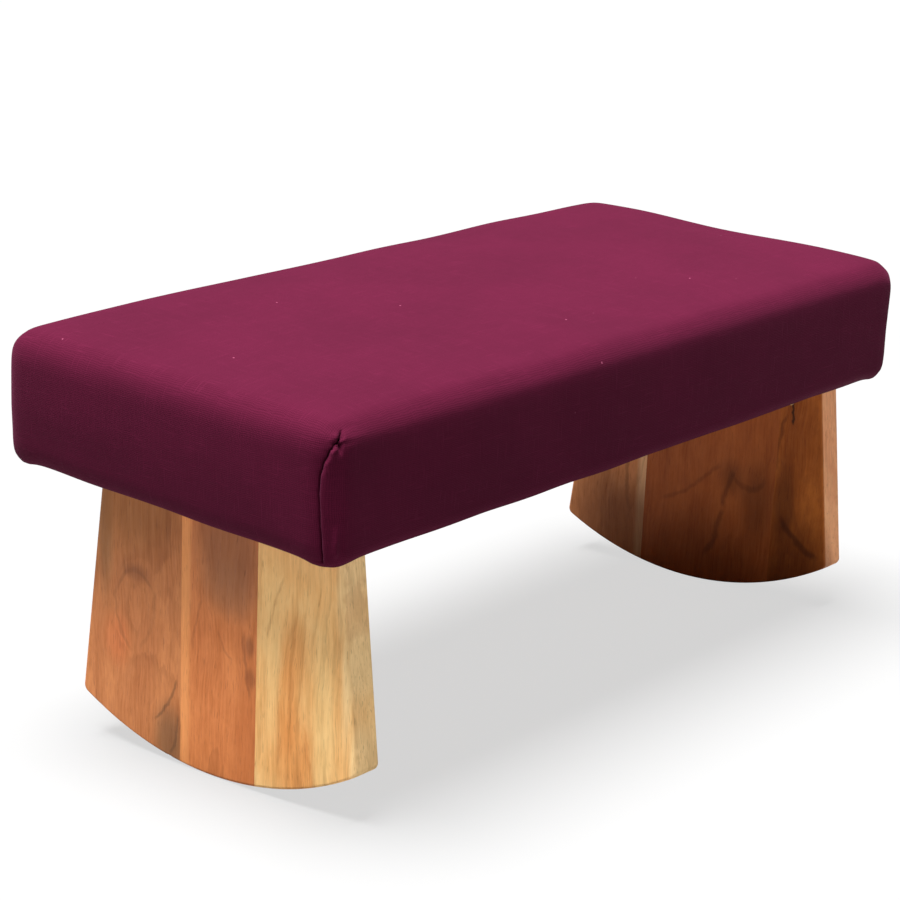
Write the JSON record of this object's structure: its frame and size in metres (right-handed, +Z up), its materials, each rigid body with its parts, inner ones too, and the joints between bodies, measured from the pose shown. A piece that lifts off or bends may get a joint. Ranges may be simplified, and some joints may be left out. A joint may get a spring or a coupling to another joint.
{
  "type": "kneeling bench",
  "caption": "Low rocking kneeling bench: a padded, fabric-covered seat that slopes forward on two flared wooden leg panels with curved feet, which fold in under it.",
  "frame": {"origin": "middle of the bench on the floor that its curved feet rest on", "axes": "+X along the seat to the bench's right as seen from its front, +Z up, -Y to its low front edge"},
  "size_m": [0.46, 0.2201, 0.2076],
  "materials": {
    "burgundy_canvas": "plain-woven matte canvas",
    "foam": "open-cell foam",
    "staple_steel": "galvanised wire",
    "board_wood": "bare, sanded",
    "left_front_wood": "satin oil",
    "left_middle_wood": "satin oil",
    "left_rear_wood": "satin oil",
    "right_front_wood": "satin oil",
    "right_middle_wood": "satin oil",
    "right_rear_wood": "satin oil",
    "hinge_brass": "satin",
    "screw_brass": "satin",
    "magnet_nickel": "nickel plate"
  },
  "bodies": {
    "seat": {"seat_board_front_stave": "board_wood", "seat_board_middle_stave": "board_wood", "seat_board_rear_stave": "board_wood", "foam_pad": "foam", "cover": "burgundy_canvas", "cover_staples": "staple_steel", "left_front_hinge_seat_leaf": "hinge_brass", "left_front_hinge_pin": "hinge_brass", "left_rear_hinge_seat_leaf": "hinge_brass", "left_rear_hinge_pin": "hinge_brass", "left_hinge_seat_screws": "screw_brass", "right_front_hinge_seat_leaf": "hinge_brass", "right_front_hinge_pin": "hinge_brass", "right_rear_hinge_seat_leaf": "hinge_brass", "right_rear_hinge_pin": "hinge_brass", "right_hinge_seat_screws": "screw_brass", "seat_magnets": "magnet_nickel"},
    "left_leg": {"left_leg_front_stave": "left_front_wood", "left_leg_middle_stave": "left_middle_wood", "left_leg_rear_stave": "left_rear_wood", "left_front_hinge_leg_leaf": "hinge_brass", "left_rear_hinge_leg_leaf": "hinge_brass", "left_hinge_leg_screws": "screw_brass", "left_leg_magnets": "magnet_nickel"},
    "right_leg": {"right_leg_front_stave": "right_front_wood", "right_leg_middle_stave": "right_middle_wood", "right_leg_rear_stave": "right_rear_wood", "right_front_hinge_leg_leaf": "hinge_brass", "right_rear_hinge_leg_leaf": "hinge_brass", "right_hinge_leg_screws": "screw_brass", "right_leg_magnets": "magnet_nickel"}
  },
  "joints": [
    {"name": "left_leg_fold", "type": "hinge", "parent": "seat", "child": "left_leg", "pos_m": [-0.1842, -0.01012, 0.13414], "axis": [0, -0.9986, -0.0529], "range_deg": [0, 90]},
    {"name": "right_leg_fold", "type": "hinge", "parent": "seat", "child": "right_leg", "pos_m": [0.1842, -0.01012, 0.13414], "axis": [0, 0.9986, 0.0529], "range_deg": [0, 90]}
  ]
}
